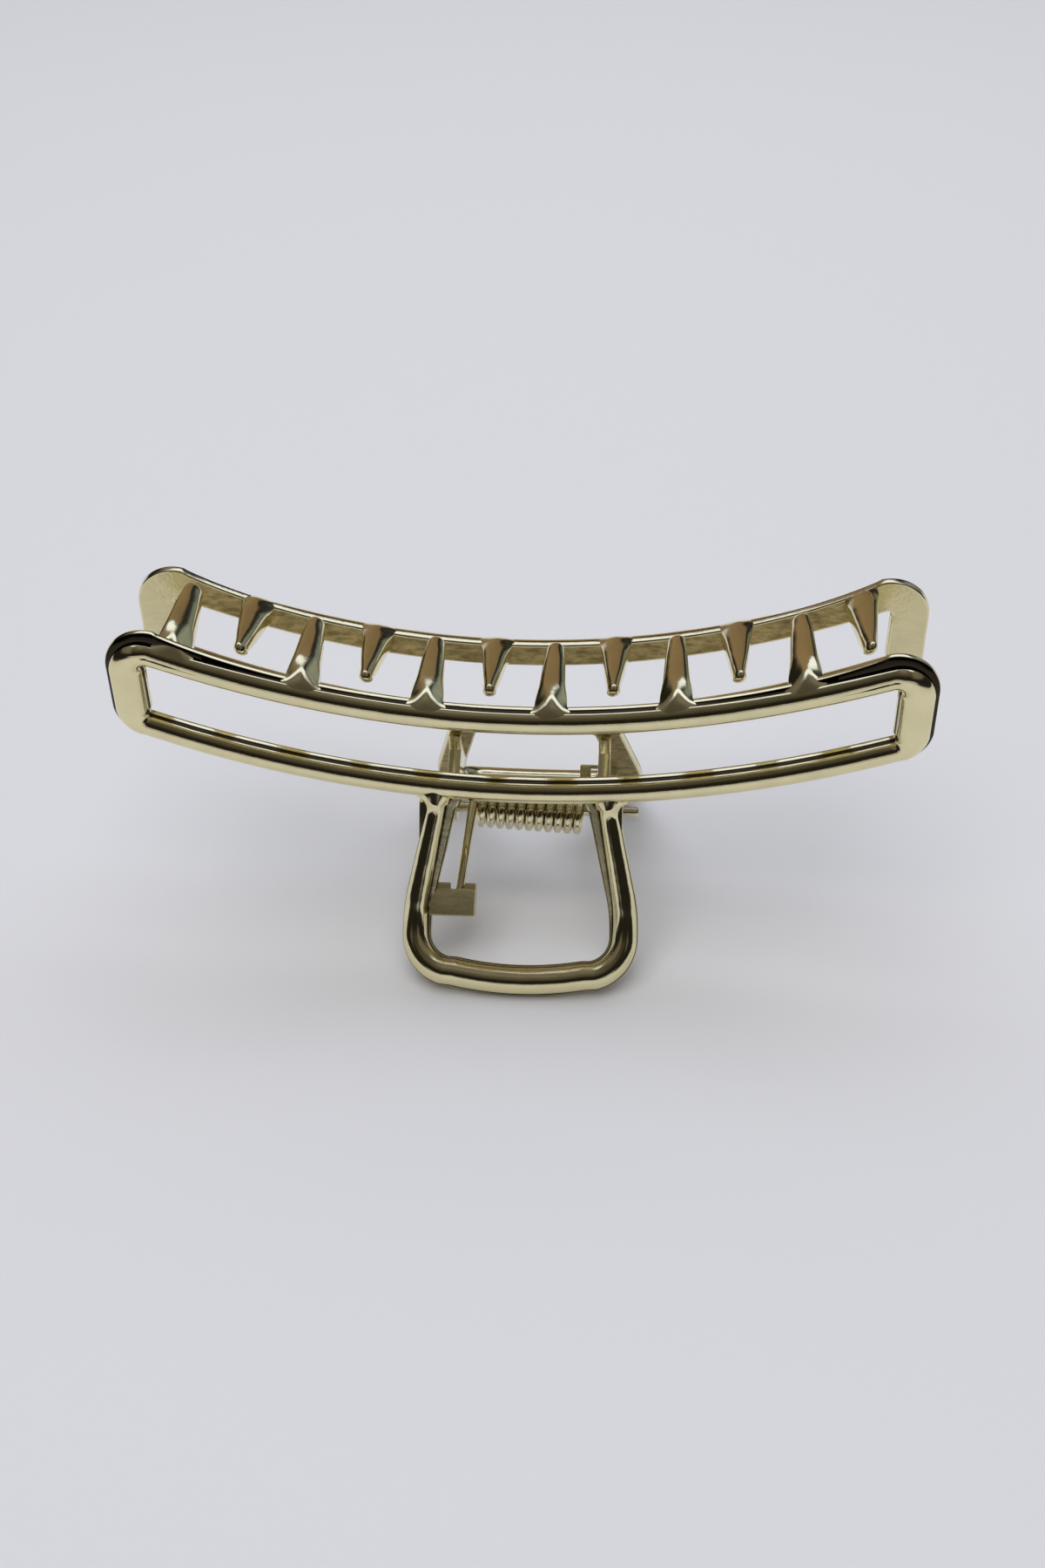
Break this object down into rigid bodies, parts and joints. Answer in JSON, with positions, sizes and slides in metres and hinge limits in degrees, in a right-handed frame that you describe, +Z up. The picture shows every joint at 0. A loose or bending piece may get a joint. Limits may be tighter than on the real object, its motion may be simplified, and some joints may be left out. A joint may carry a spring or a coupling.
{
  "type": "claw clip",
  "caption": "Long metal claw hair clip: two open cast frames with inward teeth and looped grips, hinged on a pin with a torsion spring.",
  "frame": {"origin": "bottom centre of the box round the closed clip as it stands on the end bars of its two grips", "axes": "+X along the clip towards the bare end of the hinge pin, -Y towards the half with the outer ears, +Z up towards the teeth"},
  "size_m": [0.112, 0.05, 0.0496],
  "materials": {
    "plated_casting": "polished pale gold plating on a zinc alloy casting",
    "plated_pin": "bright pale gold plating on steel",
    "plated_wire": "bright pale gold plating on spring steel wire"
  },
  "bodies": {
    "front": {"front_jaw": "plated_casting", "hinge_pin": "plated_pin", "torsion_spring": "plated_wire"},
    "back": {"back_jaw": "plated_casting"}
  },
  "joints": [
    {"name": "jaw_hinge", "type": "hinge", "parent": "front", "child": "back", "pos_m": [0, 0, 0.0147], "axis": [-1, 0, 0], "range_deg": [0, 90], "stiffness_Nm_per_rad": 0.08, "springref_deg": -68.75, "deforming": ["torsion_spring"]}
  ]
}
